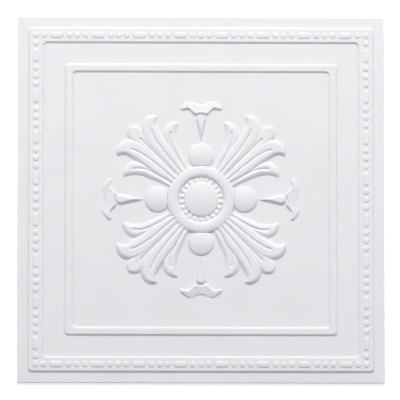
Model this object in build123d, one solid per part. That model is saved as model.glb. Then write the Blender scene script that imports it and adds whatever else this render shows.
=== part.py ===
"""Square decorative wall panel, moulded in one piece.

The flat back lies on z = 0 and the ornament rises from the face towards +Z. The origin is the centre
of the back, +X and +Y run along the sides. All sizes are in millimetres, heights of the ornament are
taken from the face of the plate.
"""

import math
import os

from build123d import *

# Plate
panel_side = 500.0
plate_thickness = 5.0
edge_chamfer = 0.8

# Raised frames: widths are taken at the foot, where the sloped sides meet the face
margin = 13.3
band_width = 23.4
field_gap = 26.6
frame_width = 13.4
band_height = 3.0
frame_height = 2.9
side_run = 3.4
corner_radius = 3.8

# Bead-and-reel row along the middle of the band, heights taken from the band
runs_per_half_side = 4
bead_pitch = 11.0
bead_width = 8.6
bead_height = 1.6
bead_shoulder = 1.0
bead_draft = 30.0
bead_sides = 8
reel_length = 18.8
reel_top_draft = 66.0

# Hub of the rosette: dome, ring of ribs and round-topped ring
dome_radius = 22.5
dome_height = 8.8
dome_wall = 3.3
rib_floor = 1.8
rib_count = 22
rib_width = 3.8
rib_height = 2.0
rib_draft = 30.0
rib_clearance = 0.3
ring_inner_radius = 30.3
ring_crest_radius = 37.9
ring_outer_radius = 46.0
ring_height = 6.0
ring_wall = 4.4
ring_inner_lean = 1.5
wall_lean = 0.6

# Four round bosses, each cut straight beside the ring
boss_centre = 59.0
boss_radius = 17.7
boss_height = 6.1
boss_wall = 3.3
boss_gap = 0.6

# Four tapered darts, point towards the hub
dart_point = 78.3
dart_length = 39.7
dart_half_width = 7.5
dart_height = 4.7
dart_flank = 3.6
dart_shares = (1.0, 0.8, 0.45)  # places across a half section, as shares of the half-width
dart_tip_share = 0.05  # width left at the point, as a share of the full width
dart_end_angles = (30, 55, 75, 85)  # places of the sections round the outer end

# Four crescents beyond the darts: across from the axis, inner edge, outer edge, height
crescent_stations = (
    (0.0, 116.0, 130.8, 4.2),
    (4.0, 115.7, 131.4, 4.3),
    (7.6, 115.0, 132.9, 4.3),
    (12.0, 119.4, 134.7, 4.0),
    (15.0, 122.3, 134.9, 3.7),
    (19.0, 123.6, 133.6, 3.6),
    (25.0, 122.1, 129.4, 3.4),
    (28.4, 123.4, 126.0, 1.0),
)
crescent_bevel = 1.5
crescent_bevel_limit = 0.3  # the bevel is at most this share of the crescent's width
crescent_fall = 0.20

# Leaves of the four diagonal fans. The spine of a leaf starts in the ring and follows three guide
# points, given as distances out along the fan's axis and aside from it
leaf_tuck = 3.5
leaf_spread = 8.8
middle_guides = ((74.0, 0.0), (107.0, 0.0), (138.9, 0.0))
second_guides = ((80.0, 10.5), (131.5, 9.5), (122.1, 38.9))
third_guides = ((70.3, 20.2), (100.4, 22.9), (96.4, 53.6))
middle_height = 4.3
second_height = 5.3
third_height = 4.2
leaf_root_share = 0.75
leaf_flank = 7.0
leaf_shares = (1.0, 0.72, 0.45)  # places across a half section, as shares of the half-width
leaf_end = 0.99  # share of the spine at the last section

# Half-widths of the leaves at the root and at the lobe, then the shares of the spine at which the
# widening starts, at which it ends, and at which the lobe begins to close
middle_half = (8.5, 12.2, 0.20, 0.75, 0.874)
second_inner = (8.0, 14.3, 0.00, 0.70, 0.66)
second_outer = (6.8, 13.0, 0.00, 0.30, 0.40)
third_inner = (4.5, 11.6, 0.35, 0.78, 0.72)
third_outer = (5.4, 9.2, 0.00, 0.40, 0.60)
round_lobe = 0.5
pointed_lobe = 0.75

# Veins along the spines, and the share of each spine that they cover
vein_depth = 1.7
vein_half_width = 2.2
vein_width_limit = 0.3  # in a narrow leaf the vein takes this share of its width
vein_depth_limit = 0.7  # and this share of its height
vein_stop = 0.02  # share of the spine in which a vein runs out
middle_vein = 0.785
second_vein = 0.70
third_vein = 0.77

sink = 2.0  # how far the ornament reaches into the plate, so that it fuses with it
face = Plane.XY.offset(plate_thickness)


def plate():
    """The square plate, with a small chamfer round the edge of its face."""
    blank = extrude(Rectangle(panel_side, panel_side), plate_thickness)
    return chamfer(blank.faces().sort_by(Axis.Z)[-1].edges(), edge_chamfer)


def raised_frame(foot_half, width, height):
    """A square frame with sloped sides and rounded corners, standing on the face."""
    slope = math.degrees(math.atan2(side_run, height))
    outer = RectangleRounded(2 * foot_half, 2 * foot_half, corner_radius + side_run)
    inner_half = foot_half - width
    inner = RectangleRounded(2 * inner_half, 2 * inner_half, corner_radius)
    return face * (extrude(outer, height, taper=slope) - extrude(inner, height, taper=-slope))


def frames():
    """The broad outer band and the narrow inner frame."""
    band_half = panel_side / 2 - margin
    frame_half = band_half - band_width - field_gap
    return [
        raised_frame(band_half, band_width, band_height),
        raised_frame(frame_half, frame_width, frame_height),
    ]


def bead_outline(length):
    """Polygon of a bead, or of a reel where the length is more than the width."""
    radius = bead_width / 2 / math.cos(math.pi / bead_sides)
    straight = (length - bead_width) / 2
    points = []
    for i in range(bead_sides):
        angle = 2 * math.pi * (i + 0.5) / bead_sides
        x = radius * math.cos(angle)
        points.append((x + math.copysign(straight, x), radius * math.sin(angle)))
    return Polygon(*points, align=None)


def bead():
    """A faceted round bead: a steep wall and a low pointed cap."""
    wall = extrude(bead_outline(bead_width), bead_shoulder, taper=bead_draft)
    rim = wall.faces().sort_by(Axis.Z)[-1]
    return wall + loft([rim, Vertex(0, 0, bead_height)], ruled=True)


def reel():
    """A faceted reel: a steep wall and a low hipped top."""
    wall = extrude(bead_outline(reel_length), bead_shoulder, taper=bead_draft)
    rim = wall.faces().sort_by(Axis.Z)[-1]
    return wall + extrude(rim, bead_height - bead_shoulder, taper=reel_top_draft)


def bead_row():
    """Beads and reels of one side: from the corner bead up to, and not including, the next corner."""
    row_half = panel_side / 2 - margin - band_width / 2
    run = row_half / runs_per_half_side
    top = plate_thickness + band_height
    pieces = []
    for i in range(2 * runs_per_half_side):
        start = -row_half + i * run
        for along in (0, bead_pitch, run - bead_pitch):
            pieces.append(Pos(start + along, row_half, top) * bead())
        pieces.append(Pos(start + run / 2, row_half, top) * reel())
    return pieces


def hub():
    """Centre dome, sunk rib floor and round-topped ring, turned in one profile."""
    outer_rim = (ring_outer_radius, ring_wall)
    crest = (ring_crest_radius, ring_height)
    inner_rim = (ring_inner_radius + ring_inner_lean, ring_wall)
    dome_rim = (dome_radius - wall_lean, rib_floor + dome_wall)
    apex = (0, dome_height)
    profile = make_face([
        Polyline((0, -sink), (ring_outer_radius, -sink), outer_rim),
        TangentArc(crest, outer_rim, tangent=(1, 0)),
        TangentArc(crest, inner_rim, tangent=(-1, 0)),
        Polyline(inner_rim, (ring_inner_radius, rib_floor), (dome_radius, rib_floor), dome_rim),
        TangentArc(apex, dome_rim, tangent=(1, 0)),
        Line(apex, (0, -sink)),
    ])
    return face * revolve(Plane.XZ * profile, Axis.Z)


def ribs():
    """The radial ribs between the dome and the ring."""
    length = ring_inner_radius - dome_radius - 2 * rib_clearance
    blank = extrude(Rectangle(length, rib_width), rib_height, taper=rib_draft)
    rib = face * Pos((ring_inner_radius + dome_radius) / 2, 0, rib_floor) * blank
    return [Rot(Z=90 + 360 * i / rib_count) * rib for i in range(rib_count)]


def boss():
    """A shallow round boss with a steep edge, cut straight on the side of the ring."""
    rim = (boss_radius - wall_lean, boss_wall)
    apex = (0, boss_height)
    profile = make_face([
        Polyline((0, -sink), (boss_radius, -sink), (boss_radius, 0), rim),
        TangentArc(apex, rim, tangent=(1, 0)),
        Line(apex, (0, -sink)),
    ])
    body = Pos(boss_centre, 0) * revolve(Plane.XZ * profile, Axis.Z)
    reach = 4 * boss_radius
    outside = Box(reach, reach, reach, align=(Align.MIN, Align.CENTER, Align.CENTER))
    return face * (body & Pos(ring_outer_radius + boss_gap, 0) * outside)


def bezier(points, t):
    """Point and direction on a Bezier curve, by repeated interpolation."""
    level = [Vector(*p) for p in points]
    while len(level) > 2:
        level = [a + (b - a) * t for a, b in zip(level, level[1:])]
    along = level[1] - level[0]
    return level[0] + along * t, along.normalized()


def swell(x):
    """0 to 1, with level ends."""
    x = min(max(x, 0.0), 1.0)
    return x * x * (3 - 2 * x)


def flank(x):
    """Height of a rounded flank at a share x of its run, from its foot."""
    return 1 - (1 - min(max(x, 0.0), 1.0)) ** 2


def lobed(half_widths, power):
    """Half-width of a leaf along its spine: it widens to a lobe, which then closes to the tip."""
    root, lobe, swell_from, swell_to, close_from = half_widths

    def width(t):
        wide = root + (lobe - root) * swell((t - swell_from) / (swell_to - swell_from))
        past = max(0.0, (t - close_from) / (1 - close_from))
        return wide * (1 - past * past) ** power

    return width


def leaf_section(plane, inner, outer, height, groove):
    """Section across a leaf: two rounded flanks, with the vein between them at the spine."""
    def stops(half):
        return [share * half for share in leaf_shares] + [min(vein_half_width, vein_width_limit * half)]

    aside = stops(outer) + [0.0] + [-x for x in reversed(stops(inner))]
    points = [(outer, -sink)]
    for x in aside:
        z = height * flank((outer - x) / leaf_flank) * flank((inner + x) / leaf_flank)
        if x == 0:
            z -= min(groove, vein_depth_limit * z)
        points.append((x, z))
    points.append((-inner, -sink))
    return plane * Polygon(*points, align=None)


def leaf(spine, inner, outer, height, vein_end):
    """A leaf lofted along its spine, with a vein that stops short of the tip."""
    stem = [vein_end * i / 3 for i in range(4)]
    tip_from = vein_end + vein_stop
    tip = [tip_from + (leaf_end - tip_from) * i / 3 for i in range(4)]
    sections = []
    for t in stem + tip:
        point, along = bezier(spine, t)
        plane = Plane(origin=point, x_dir=(-along.Y, along.X, 0), z_dir=along)
        rise = height * (leaf_root_share + (1 - leaf_root_share) * swell(2 * t))
        groove = vein_depth if t <= vein_end else 0.0
        sections.append(leaf_section(plane, inner(t), outer(t), rise, groove))
    return loft(sections, ruled=True)


def leaf_spine(place, guides):
    """Spine of the leaf at a place in the fan, counted from the middle one."""
    radius = ring_outer_radius - leaf_tuck
    angle = math.radians(leaf_spread * place)
    return [(radius * math.cos(angle), radius * math.sin(angle)), *guides]


def leaf_fan():
    """Five leaves about +X: the middle one, and two pairs that curl outwards."""
    middle_width = lobed(middle_half, round_lobe)
    second_widths = [lobed(half, pointed_lobe) for half in (second_inner, second_outer)]
    third_widths = [lobed(half, pointed_lobe) for half in (third_inner, third_outer)]
    middle = leaf(leaf_spine(0, middle_guides), middle_width, middle_width, middle_height, middle_vein)
    second = leaf(leaf_spine(1, second_guides), *second_widths, second_height, second_vein)
    third = leaf(leaf_spine(2, third_guides), *third_widths, third_height, third_vein)
    pair = [second, third]
    return [face * part for part in [middle] + pair + [mirror(part, Plane.XZ) for part in pair]]


def dart_section(along, half_width):
    """Section across a dart: a flat top between two rounded flanks."""
    plane = Plane(origin=(dart_point + along, 0, 0), x_dir=(0, 1, 0), z_dir=(1, 0, 0))
    points = [(half_width, -sink)]
    for share in dart_shares:
        points.append((share * half_width, dart_height * flank((1 - share) * half_width / dart_flank)))
    points += [(-x, z) for x, z in points[::-1]]
    return plane * Polygon(*points, align=None)


def dart():
    """A tapered dart with a round outer end."""
    taper = dart_length - dart_half_width
    sections = [dart_section(share * taper, share * dart_half_width) for share in (dart_tip_share, 1.0)]
    for angle in dart_end_angles:
        bend = math.radians(angle)
        along = taper + dart_half_width * math.sin(bend)
        sections.append(dart_section(along, dart_half_width * math.cos(bend)))
    return face * loft(sections, ruled=True)


def crescent_section(across, inner, outer, height):
    """Section through a crescent: steep on the side of the dart, sloping down to the outside."""
    plane = Plane(origin=(0, across, 0), x_dir=(1, 0, 0), z_dir=(0, -1, 0))
    bevel = min(crescent_bevel, crescent_bevel_limit * (outer - inner))
    points = [
        (inner, -sink),
        (inner, 0),
        (inner + bevel, height),
        (outer - 2 * bevel, height - crescent_fall * (outer - inner - 3 * bevel)),
        (outer, 0),
        (outer, -sink),
    ]
    return plane * Polygon(*points, align=None)


def crescent():
    """A two-winged crescent that cups the round end of a dart."""
    half = [crescent_section(*station) for station in crescent_stations]
    other = [mirror(section, Plane.XZ) for section in half[:0:-1]]
    return face * loft(other + half, ruled=True)


def panel():
    """The whole moulded panel as one solid."""
    relief = [hub()] + ribs()
    for quarter in range(4):
        turn = Rot(Z=90 * quarter)
        relief += [turn * part for part in [boss(), dart(), crescent()] + bead_row()]
        relief += [turn * Rot(Z=45) * part for part in leaf_fan()]
    return plate() + frames() + relief


if __name__ == "__main__":
    os.makedirs("parts", exist_ok=True)
    export_step(panel(), "parts/panel.step")
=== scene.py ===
import math

import bmesh
import bpy
import numpy as np
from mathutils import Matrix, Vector


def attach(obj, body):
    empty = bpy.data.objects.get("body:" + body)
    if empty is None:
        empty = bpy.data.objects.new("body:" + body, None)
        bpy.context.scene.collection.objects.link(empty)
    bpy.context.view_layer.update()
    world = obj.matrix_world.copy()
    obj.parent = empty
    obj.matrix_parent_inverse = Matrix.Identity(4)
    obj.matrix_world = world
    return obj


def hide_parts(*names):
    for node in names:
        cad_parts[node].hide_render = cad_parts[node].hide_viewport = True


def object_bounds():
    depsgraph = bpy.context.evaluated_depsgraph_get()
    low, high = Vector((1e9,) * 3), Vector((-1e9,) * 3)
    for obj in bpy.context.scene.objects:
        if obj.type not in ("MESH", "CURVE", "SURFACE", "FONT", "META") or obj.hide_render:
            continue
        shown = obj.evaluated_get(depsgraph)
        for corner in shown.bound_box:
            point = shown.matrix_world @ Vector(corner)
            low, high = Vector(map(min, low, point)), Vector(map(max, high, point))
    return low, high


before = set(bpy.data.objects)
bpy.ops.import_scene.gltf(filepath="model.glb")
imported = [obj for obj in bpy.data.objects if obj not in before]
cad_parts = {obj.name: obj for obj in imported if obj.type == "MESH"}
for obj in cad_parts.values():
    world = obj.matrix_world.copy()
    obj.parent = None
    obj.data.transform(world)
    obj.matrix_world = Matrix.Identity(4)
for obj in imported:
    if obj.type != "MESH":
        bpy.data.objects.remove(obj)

cad_low, cad_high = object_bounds()

# Lengths of the panel are in millimetres, as in the part's source. Heights of the ornament are taken
# from the face of the plate, and of the beads from the band. Lamps and camera are placed in metres.
MM = 0.001

# Plate and raised frames. A frame has an outer edge, an inner edge and a height
HALF = round(cad_high.x / MM, 3)
FACE = 5.0
EDGE_ROUND = 0.8
PLATE_CORNER = 0.05
BAND = (236.7, 213.3, 3.0)
FRAME = (186.7, 173.3, 2.9)
SLOPE_RUN = 3.4
SLOPE_ROUNDING = 0.6  # share of the rounded line in a slope, the rest is straight
CORNER = 5.5
FIELD_MESH_HALF = 150.0  # the innermost square of the plate's mesh

# Bead-and-reel row
ROW = 225.0
RUNS = 8
BEAD_PITCH = 11.0
BEAD_RADIUS = 4.3
BEAD_HEIGHT = 1.5
REEL_LENGTH = 18.8

# Hub
RING_OUT, RING_CREST, RING_IN = 46.0, 37.6, 30.3
RING_TOP, RING_FOOT = 5.65, 2.6
RING_CURVE = 2.6  # power of the ring's curve: a larger one keeps its top level for longer
RING_OUTER_FALL, RING_INNER_FALL = 0.75, 0.7  # powers at its edges: a smaller one is steeper
RIB_FLOOR, RIB_RISE, RIBS = 1.1, 2.0, 22
RIB_ROUNDING = 0.4  # share of a rib's length in which it rises
DOME_RADIUS, DOME_TOP, DOME_SAG, DOME_EDGE = 24.2, 7.65, 4.0, 2.7

# Bosses, each cut straight on the side of the ring
BOSS_CENTRE, BOSS_RADIUS, BOSS_TOP, BOSS_SAG, BOSS_EDGE = 59.0, 18.2, 5.9, 3.9, 2.8
BOSS_CUT, BOSS_CUT_EDGE = 44.6, 2.2

# Darts
DART_TIP, DART_END, DART_HALF, DART_TOP, DART_BEVEL = 78.3, 116.4, 7.5, 4.7, 3.7
DART_THIN = 0.15  # half-width left at the point
DART_WIDEST = 0.80  # share of the length at which the round end starts
DART_RISE, DART_DROP = 0.4, 0.08  # shares of the length in which it rises and falls

# Crescents: across, inner edge, outer edge, height at the inner edge
CRESCENT = (
    (0.0, 116.0, 130.8, 4.8),
    (3.5, 115.6, 131.3, 4.9),
    (6.0, 114.8, 132.2, 5.05),
    (8.0, 114.7, 133.1, 5.05),
    (10.0, 116.2, 134.0, 4.8),
    (12.4, 118.8, 134.8, 4.5),
    (15.0, 121.2, 134.9, 4.25),
    (18.2, 122.6, 134.0, 4.3),
    (22.0, 122.0, 131.6, 4.45),
    (25.6, 121.2, 129.0, 4.1),
    (27.6, 121.7, 127.2, 2.9),
    (28.6, 123.2, 125.8, 1.2),
)
CRESCENT_FALL = 0.23  # fall of the top for each millimetre outwards
CRESCENT_INNER_RUN, CRESCENT_OUTER_RUN = 3.5, 2.6

# Leaves of a fan, about its axis: the spine's control points as distances along and aside
MIDDLE_SPINE = ((42, 0), (74, 0), (107, 0), (138.9, 0))
SECOND_SPINE = ((42, 6.5), (80, 10.5), (131.5, 9.5), (122.1, 38.9))
THIRD_SPINE = ((41, 13.1), (70.3, 20.2), (100.4, 22.9), (96.4, 53.6))
# Half-widths at the root and at the lobe, then the shares of the spine at which the widening starts,
# at which it ends and at which the lobe begins to close
MIDDLE_HALF = (8.5, 12.2, 0.2, 0.75, 0.874)
SECOND_INNER = (8.0, 15.2, 0.0, 0.7, 0.66)
SECOND_OUTER = (6.8, 13.0, 0.0, 0.3, 0.4)
THIRD_INNER = (4.5, 11.6, 0.35, 0.78, 0.72)
THIRD_OUTER = (5.4, 9.2, 0.0, 0.4, 0.6)
ROUND_LOBE, POINTED_LOBE = 0.5, 0.75
# Heights on the stem and on the lobe, and the shares of the spine between which they change
MIDDLE_HEIGHTS, SECOND_HEIGHTS, THIRD_HEIGHTS = (4.2, 3.9), (5.1, 4.7), (4.1, 3.9)
LOBE_FROM, LOBE_TO = 0.5, 0.85
LEAF_RUN, LEAF_ROOT_RUN = 6.2, 0.68  # run of the flanks, and its share at the root
LEAF_ROOT_HEIGHT, LEAF_ROOT_RISE = 0.88, 0.3  # the root's share of the height, and where that ends
LEAF_ROOT_SPREAD = 0.4  # share of the spine in which the flanks take up their full run

# Veins: depth, half-width, the share of the spine at which each ends, and the pit at that end
VEIN_DEPTH, VEIN_HALF, THIRD_VEIN_HALF = 1.8, 2.2, 2.6
MIDDLE_VEIN, SECOND_VEIN, THIRD_VEIN = 0.785, 0.705, 0.775
VEIN_RUN_OUT = 0.015
PIT_DEPTH, PIT_LENGTH, PIT_RAMP = 0.45, 0.06, 0.04

SINK = 1.5  # how far the ornament reaches into the plate
PLACES = [math.sin(math.radians(89.2 * i / 48)) for i in range(49)]  # along a leaf or dart


def swell(x):
    """0 to 1, with level ends."""
    x = np.clip(x, 0, 1)
    return x * x * (3 - 2 * x)


def shoulder(x):
    """Height of a rounded flank at a distance x from its foot, as parts of its run."""
    return np.sqrt(1 - (1 - np.clip(x, 0, 1)) ** 2)


def flank(x):
    """The same for a softer flank, which leaves its foot at a slant."""
    return 1 - (1 - np.clip(x, 0, 1)) ** 1.7


def bevel(x):
    """The same for a nearly straight flank."""
    return 1 - (1 - np.clip(x, 0, 1)) ** 1.3


def bezier(points, t):
    """Point and direction on a Bezier curve."""
    level = [np.array(p, float) for p in points]
    while len(level) > 2:
        level = [a + (b - a) * t for a, b in zip(level, level[1:])]
    along = level[1] - level[0]
    return level[0] + along * t, along / np.linalg.norm(along)


def through(points, steps):
    """A smooth line through points: Catmull-Rom, with the ends held."""
    p = np.array(points, float)
    p = np.concatenate([2 * p[:1] - p[1:2], p, 2 * p[-1:] - p[-2:-1]])
    line = []
    for a, b, c, d in zip(p, p[1:], p[2:], p[3:]):
        square, cube = 2 * a - 5 * b + 4 * c - d, 3 * b - a - 3 * c + d
        for t in np.arange(steps) / steps:
            line.append(0.5 * (2 * b + (c - a) * t + square * t**2 + cube * t**3))
    return np.array(line + [p[-2]])


def turned(loops, degrees):
    """The loops turned about the panel's centre."""
    a = math.radians(degrees)
    spin = np.array([[math.cos(a), math.sin(a), 0], [-math.sin(a), math.cos(a), 0], [0, 0, 1]])
    return np.asarray(loops) @ spin


def four(loops, start=0.0):
    """Four copies, a quarter turn apart."""
    return [turned(loops, start + 90 * k) for k in range(4)]


def mirrored(loops):
    """The loops mirrored in the XZ plane."""
    return np.asarray(loops) * (1, -1, 1)


def moved(loops, x, y, z):
    return np.asarray(loops) + (x, y, z)


def footed(across, heights):
    """A section line, closed by two corners sunk into the plate."""
    return np.append(across, [across[-1], across[0]]), np.append(heights, [-SINK, -SINK])


def solid(name, stacks):
    """One object from stacks of closed loops: each stack is skinned, and capped at both ends."""
    verts, faces = [], []
    for stack in stacks:
        stack = np.asarray(stack, float)
        rows, count = stack.shape[:2]
        first = sum(len(v) for v in verts)
        verts.append(stack.reshape(-1, 3) * MM)
        for i in range(rows - 1):
            for j in range(count):
                a = first + i * count + j
                b = first + i * count + (j + 1) % count
                faces.append((a, b, b + count, a + count))
        faces.append(tuple(first + j for j in reversed(range(count))))
        faces.append(tuple(first + (rows - 1) * count + j for j in range(count)))
    mesh = bpy.data.meshes.new(name)
    mesh.from_pydata(np.concatenate(verts).tolist(), [], faces)
    bm = bmesh.new()
    bm.from_mesh(mesh)
    bmesh.ops.recalc_face_normals(bm, faces=bm.faces)
    bmesh.ops.triangulate(bm, faces=[f for f in bm.faces if len(f.verts) > 4])
    bm.to_mesh(mesh)
    bm.free()
    obj = bpy.data.objects.new(name, mesh)
    bpy.context.scene.collection.objects.link(obj)
    return obj


def rounded_square(half, radius, z, steps=8):
    """A square loop with rounded corners."""
    centre = half - radius
    loop = []
    for k, (sx, sy) in enumerate([(1, 1), (-1, 1), (-1, -1), (1, -1)]):
        for i in range(steps + 1):
            a = math.radians(90 * k + 90 * i / steps)
            loop.append((sx * centre + radius * math.cos(a), sy * centre + radius * math.sin(a), z))
    return loop


def plate():
    """Back, edge, margin, band, field and inner frame, as square loops from the back to the centre."""
    profile = [(HALF, PLATE_CORNER, 0.0), (HALF, PLATE_CORNER, FACE - EDGE_ROUND)]
    for i in range(1, 6):
        a = math.radians(18 * i)
        half = HALF - EDGE_ROUND * (1 - math.cos(a))
        profile.append((half, PLATE_CORNER, FACE - EDGE_ROUND * (1 - math.sin(a))))
    for outer, inner, height in (BAND, FRAME):
        for middle, rising in ((outer - SLOPE_RUN / 2, True), (inner + SLOPE_RUN / 2, False)):
            for i in range(9):
                x = i / 8
                half = middle + SLOPE_RUN * (0.5 - x)
                lift = SLOPE_ROUNDING * swell(x) + (1 - SLOPE_ROUNDING) * x
                z = FACE + height * (lift if rising else 1 - lift)
                profile.append((half, CORNER + half - middle, z))
    profile.append((FIELD_MESH_HALF, CORNER, FACE))
    return [rounded_square(*p) for p in profile]


def bead(length, sides=24, steps=7):
    """A bead, or a reel where the length is more than the width."""
    def outline(size, z):
        points = []
        for i in range(sides):
            a = 2 * math.pi * (i + 0.5) / sides
            x, y = size * BEAD_RADIUS * math.cos(a), size * BEAD_RADIUS * math.sin(a)
            points.append((x + math.copysign(length / 2 - BEAD_RADIUS, x), y, z))
        return points
    loops = [outline(1.0, -SINK)]
    for i in range(steps):
        size = math.cos(math.radians(90 * i / steps))
        loops.append(outline(size, BEAD_HEIGHT * math.sqrt(1 - size**2)))
    return loops


def bead_rows():
    """The beads and reels of all four sides."""
    run = 2 * ROW / RUNS
    round_bead, reel = bead(2 * BEAD_RADIUS), bead(REEL_LENGTH)
    top = FACE + BAND[2]
    stacks = []
    for side in range(4):
        for i in range(RUNS):
            start = -ROW + i * run
            row = [moved(round_bead, start + x, ROW, top) for x in (0, BEAD_PITCH, run - BEAD_PITCH)]
            row.append(moved(reel, start + run / 2, ROW, top))
            stacks += [turned(loops, 90 * side) for loops in row]
    return stacks


def ring_profile(r):
    """Height of the round-shouldered ring."""
    out = np.clip((r - RING_CREST) / (RING_OUT - RING_CREST), 0, 1)
    within = np.clip((RING_CREST - r) / (RING_CREST - RING_IN), 0, 1)
    outside = RING_FOOT + (RING_TOP - RING_FOOT) * (1 - out**RING_CURVE) ** RING_OUTER_FALL
    inside = RIB_FLOOR + (RING_TOP - RIB_FLOOR) * (1 - within**RING_CURVE) ** RING_INNER_FALL
    return np.where(r > RING_CREST, outside, inside)


def hub():
    """Ring, ribs and dome as circles from the foot of the ring to the centre."""
    sides = RIBS * 8
    angle = np.radians(90) + 2 * np.pi * np.arange(sides) / sides
    wave = 0.5 + 0.5 * np.cos(RIBS * (angle - np.radians(90)))
    loops = []

    def circle(r, z):
        loops.append(np.stack([r * np.cos(angle), r * np.sin(angle), FACE + z + 0 * angle], 1))

    circle(RING_OUT, -SINK)
    steps = 16
    for i in range(steps + 1):
        r = RING_CREST + (RING_OUT - RING_CREST) * math.cos(math.radians(90 * i / steps))
        circle(r, ring_profile(r))
    for i in range(1, steps):
        r = RING_CREST - (RING_CREST - RING_IN) * math.sin(math.radians(90 * i / steps))
        circle(r, ring_profile(r))
    for i in range(9):
        x = i / 8
        r = RING_IN + (DOME_RADIUS - RING_IN) * x
        circle(r, RIB_FLOOR + RIB_RISE * wave * shoulder(x / RIB_ROUNDING))
    bend = DOME_RADIUS**2 / DOME_SAG
    base = RIB_FLOOR + RIB_RISE * wave
    for i in range(1, 24):
        r = DOME_RADIUS * math.cos(math.radians(90 * i / 24))
        cap = DOME_TOP - r * r / bend
        circle(r, base + (cap - base) * flank((DOME_RADIUS - r) / DOME_EDGE))
    return loops


def boss():
    """A shallow dome, cut straight on the side of the ring."""
    sides, steps = 96, 28
    points = []
    for i in range(sides):
        a = 2 * math.pi * i / sides
        reach = BOSS_RADIUS
        if math.cos(a) < 0:
            reach = min(reach, (BOSS_CUT - BOSS_CENTRE) / math.cos(a))
        points.append((reach * math.cos(a), reach * math.sin(a)))
    points = np.array(points)
    bend = BOSS_RADIUS**2 / BOSS_SAG
    foot = np.full(sides, FACE - SINK)
    loops = [np.column_stack([points[:, 0] + BOSS_CENTRE, points[:, 1], foot])]
    for i in range(steps):
        size = math.cos(math.radians(90 * i / steps))
        x, y = points[:, 0] * size, points[:, 1] * size
        rho = np.hypot(x, y)
        rim = flank((BOSS_RADIUS - rho) / BOSS_EDGE)
        rim *= flank((x + BOSS_CENTRE - BOSS_CUT) / BOSS_CUT_EDGE)
        loops.append(np.column_stack([x + BOSS_CENTRE, y, FACE + (BOSS_TOP - rho**2 / bend) * rim]))
    return loops


def dart():
    """A tapered dart with bevelled sides and a round outer end."""
    across = np.array([0, 0.15, 0.3, 0.45, 0.6, 0.72, 0.82, 0.9, 0.96, 1])
    loops = []
    for t in PLACES:
        past = max(0.0, (t - DART_WIDEST) / (1 - DART_WIDEST))
        taper = max(DART_THIN, DART_HALF * min(t / DART_WIDEST, 1.0))
        half = max(DART_THIN, taper * math.sqrt(1 - past * past))
        y = np.concatenate([-half * across[::-1], half * across[1:]])
        height = DART_TOP * flank(t / DART_RISE) * bevel((1 - t) / DART_DROP)
        y, z = footed(y, height * bevel((half - np.abs(y)) / min(DART_BEVEL, taper)))
        x = DART_TIP + (DART_END - DART_TIP) * t
        loops.append(np.column_stack([np.full(len(y), x), y, FACE + z]))
    return loops


def crescent():
    """A two-winged crescent, highest along the edge on the side of the dart."""
    both = [(-y, a, b, h) for y, a, b, h in CRESCENT[:0:-1]] + list(CRESCENT)
    across = np.array(
        [0, 0.02, 0.05, 0.09, 0.14, 0.2, 0.3, 0.4, 0.5, 0.6, 0.7, 0.8, 0.87, 0.93, 0.97, 1]
    )
    loops = []
    for y, inner, outer, height in through(both, 4):
        x = inner + (outer - inner) * across
        top = height - CRESCENT_FALL * (x - inner)
        z = top * swell((x - inner) / CRESCENT_INNER_RUN) * flank((outer - x) / CRESCENT_OUTER_RUN)
        x, z = footed(x, z)
        loops.append(np.column_stack([x, np.full(len(x), y), FACE + z]))
    return loops


def leaf_width(root, lobe, widen_from, widen_to, close_from, power=POINTED_LOBE):
    """Half-width of a leaf on one side of its vein: it widens to a lobe, which closes to the tip."""
    def width(t):
        wide = root + (lobe - root) * swell((t - widen_from) / (widen_to - widen_from))
        past = max(0.0, (t - close_from) / (1 - close_from))
        return wide * (1 - past * past) ** power
    return width


def leaf(spine, inner, outer, heights, vein_end, vein_half=VEIN_HALF):
    """A leaf as sections along its spine: two rounded flutes with a sharp vein between them."""
    stem, lobe = heights
    across = np.array(
        [0, 0.05, 0.1, 0.15, 0.2, 0.27, 0.35, 0.45, 0.55, 0.65, 0.75, 0.83, 0.9, 0.95, 0.985, 1]
    )
    loops = []
    for t in PLACES:
        point, along = bezier(spine, t)
        left = np.array([-along[1], along[0]])
        w_in, w_out = inner(t), outer(t)
        x = np.concatenate([-w_in * across[::-1], w_out * across[1:]])
        height = stem + (lobe - stem) * swell((t - LOBE_FROM) / (LOBE_TO - LOBE_FROM))
        height *= LEAF_ROOT_HEIGHT + (1 - LEAF_ROOT_HEIGHT) * swell(t / LEAF_ROOT_RISE)
        run = LEAF_RUN * (LEAF_ROOT_RUN + (1 - LEAF_ROOT_RUN) * swell(t / LEAF_ROOT_SPREAD))
        z = height * flank((w_out - x) / run) * flank((w_in + x) / run)
        cut = VEIN_DEPTH * np.clip(1 - np.abs(x) / vein_half, 0, 1)
        cut *= swell((vein_end - t) / VEIN_RUN_OUT)
        cut *= 1 + PIT_DEPTH * swell((t - vein_end + PIT_LENGTH) / PIT_RAMP)
        x, z = footed(x, np.maximum(z - cut, -0.5 * SINK))
        loops.append(np.column_stack([point[0] + left[0] * x, point[1] + left[1] * x, FACE + z]))
    return loops


def fan():
    """The middle leaf and one side's two curled leaves, about +X."""
    straight = leaf_width(*MIDDLE_HALF, ROUND_LOBE)
    middle = leaf(MIDDLE_SPINE, straight, straight, MIDDLE_HEIGHTS, MIDDLE_VEIN)
    inner, outer = leaf_width(*SECOND_INNER), leaf_width(*SECOND_OUTER)
    second = leaf(SECOND_SPINE, inner, outer, SECOND_HEIGHTS, SECOND_VEIN)
    inner, outer = leaf_width(*THIRD_INNER), leaf_width(*THIRD_OUTER)
    third = leaf(THIRD_SPINE, inner, outer, THIRD_HEIGHTS, THIRD_VEIN, THIRD_VEIN_HALF)
    return middle, second, third


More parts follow.
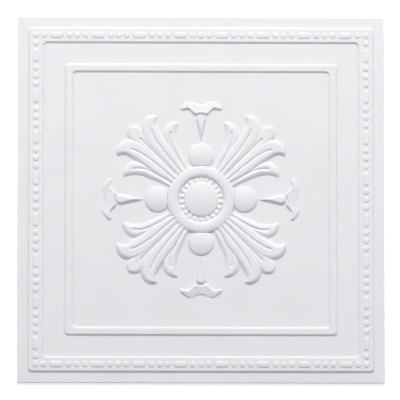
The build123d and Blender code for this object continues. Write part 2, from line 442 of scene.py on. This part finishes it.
def build_panel():
    """The moulded panel as one closed mesh."""
    middle, second, third = fan()
    panel = solid("panel_relief", [plate()])
    additions = [
        solid("beads", bead_rows()),
        solid("third", four(third, 45) + four(mirrored(third), 45)),
        solid("middle", four(middle, 45)),
        solid("second", four(second, 45) + four(mirrored(second), 45)),
        solid("hub", [hub()]),
        solid("bosses", four(boss())),
        solid("darts", four(dart())),
        solid("crescents", four(crescent())),
    ]
    for extra in additions:
        union = panel.modifiers.new(extra.name, "BOOLEAN")
        union.operation = "UNION"
        union.solver = "MANIFOLD"
        union.object = extra
    depsgraph = bpy.context.evaluated_depsgraph_get()
    mesh = bpy.data.meshes.new_from_object(panel.evaluated_get(depsgraph))
    panel.modifiers.clear()
    panel.data = mesh
    for extra in additions:
        bpy.data.objects.remove(extra)
    mesh.polygons.foreach_set("use_smooth", [True] * len(mesh.polygons))
    mesh.set_sharp_from_angle(angle=math.radians(38))
    weighted = panel.modifiers.new("weighted_normals", "WEIGHTED_NORMAL")
    weighted.keep_sharp = True
    return panel


def moulded_white():
    """Matte white moulded foam: faint mottling in the tone, fine grain in the bump."""
    mat = bpy.data.materials.new("moulded_white")
    mat.use_nodes = True
    nodes, links = mat.node_tree.nodes, mat.node_tree.links
    shader = nodes["Principled BSDF"]
    shader.inputs["Specular IOR Level"].default_value = 0.25
    coords = nodes.new("ShaderNodeTexCoord")

    def noise(scale, detail):
        node = nodes.new("ShaderNodeTexNoise")
        node.inputs["Scale"].default_value = scale
        node.inputs["Detail"].default_value = detail
        links.new(coords.outputs["Object"], node.inputs["Vector"])
        return node

    tone = nodes.new("ShaderNodeValToRGB")
    tone.color_ramp.elements[0].color = (0.783, 0.7815, 0.7925, 1)
    tone.color_ramp.elements[1].color = (0.799, 0.7975, 0.8087, 1)
    tone.color_ramp.elements[0].position = 0.35
    tone.color_ramp.elements[1].position = 0.65
    links.new(noise(14.0, 4.0).outputs["Fac"], tone.inputs["Fac"])
    links.new(tone.outputs["Color"], shader.inputs["Base Color"])
    rough = nodes.new("ShaderNodeMapRange")
    rough.inputs["To Min"].default_value = 0.62
    rough.inputs["To Max"].default_value = 0.78
    links.new(noise(60.0, 3.0).outputs["Fac"], rough.inputs["Value"])
    links.new(rough.outputs["Result"], shader.inputs["Roughness"])
    bump = nodes.new("ShaderNodeBump")
    bump.inputs["Strength"].default_value = 0.12
    bump.inputs["Distance"].default_value = 0.0003
    links.new(noise(900.0, 3.0).outputs["Fac"], bump.inputs["Height"])
    links.new(bump.outputs["Normal"], shader.inputs["Normal"])
    return mat


def add_floor():
    """A plain pale floor just under the panel's back, brighter to the camera than to the panel."""
    size, gap = 6.0, 0.0005
    corners = [(-size, -size, 0), (size, -size, 0), (size, size, 0), (-size, size, 0)]
    mesh = bpy.data.meshes.new("floor")
    mesh.from_pydata(corners, [], [(0, 1, 2, 3)])
    floor = bpy.data.objects.new("floor", mesh)
    floor.location.z = cad_low.z - gap
    bpy.context.scene.collection.objects.link(floor)
    mat = bpy.data.materials.new("floor_white")
    mat.use_nodes = True
    nodes, links = mat.node_tree.nodes, mat.node_tree.links
    shader = nodes["Principled BSDF"]
    shader.inputs["Base Color"].default_value = (0.93, 0.93, 0.93, 1)
    shader.inputs["Roughness"].default_value = 0.9
    shader.inputs["Emission Color"].default_value = (1, 1, 1, 1)
    path = nodes.new("ShaderNodeLightPath")
    lift = nodes.new("ShaderNodeMath")
    lift.operation = "MULTIPLY"
    lift.inputs[1].default_value = 0.50
    links.new(path.outputs["Is Camera Ray"], lift.inputs[0])
    links.new(lift.outputs["Value"], shader.inputs["Emission Strength"])
    mesh.materials.append(mat)


def add_area(name, place, size, power):
    """A soft rectangular lamp, aimed at the centre of the panel."""
    light = bpy.data.lights.new(name, "AREA")
    light.shape = "RECTANGLE"
    light.size, light.size_y = size
    light.energy = power
    light.color = (1.0, 0.998, 0.985)
    obj = bpy.data.objects.new(name, light)
    obj.location = place
    obj.rotation_euler = (-Vector(place)).to_track_quat("-Z", "Y").to_euler()
    bpy.context.scene.collection.objects.link(obj)


def light_scene():
    """A broad key from the top of the picture, two weak side lamps and an even surround."""
    add_area("key", (0.03, 2.19, 2.60), (3.2, 1.6), 111.0)
    add_area("left_fill", (-3.0, 0.0, 1.1), (1.6, 1.0), 10.0)
    add_area("right_fill", (3.0, 0.0, 1.1), (1.6, 1.0), 10.0)
    world = bpy.data.worlds.new("surround")
    world.use_nodes = True
    back = world.node_tree.nodes["Background"]
    back.inputs["Color"].default_value = (1.0, 0.986, 1.085, 1)
    back.inputs["Strength"].default_value = 0.31
    bpy.context.scene.world = world


def add_camera():
    """Looks down on the panel almost squarely, from far off."""
    tilt, turn, distance = math.radians(5.4), math.radians(1.6), 8.0
    aim = Vector((-0.0013, -0.0001, 0.0))
    panel_pixels, picture_pixels = 366.9, 400
    camera = bpy.data.cameras.new("camera")
    obj = bpy.data.objects.new("camera", camera)
    obj.rotation_euler = (tilt, -turn, 0)
    obj.location = aim + obj.rotation_euler.to_matrix() @ Vector((0, 0, distance))
    view_width = 2 * HALF * MM * picture_pixels / panel_pixels
    camera.sensor_width = 36.0
    camera.lens = camera.sensor_width * distance / view_width
    bpy.context.scene.collection.objects.link(obj)
    bpy.context.scene.camera = obj


panel = build_panel()
panel.data.materials.clear()
panel.data.materials.append(moulded_white())
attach(panel, "root")
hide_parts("panel")
add_floor()
light_scene()
add_camera()
bpy.context.scene.view_settings.view_transform = "Standard"
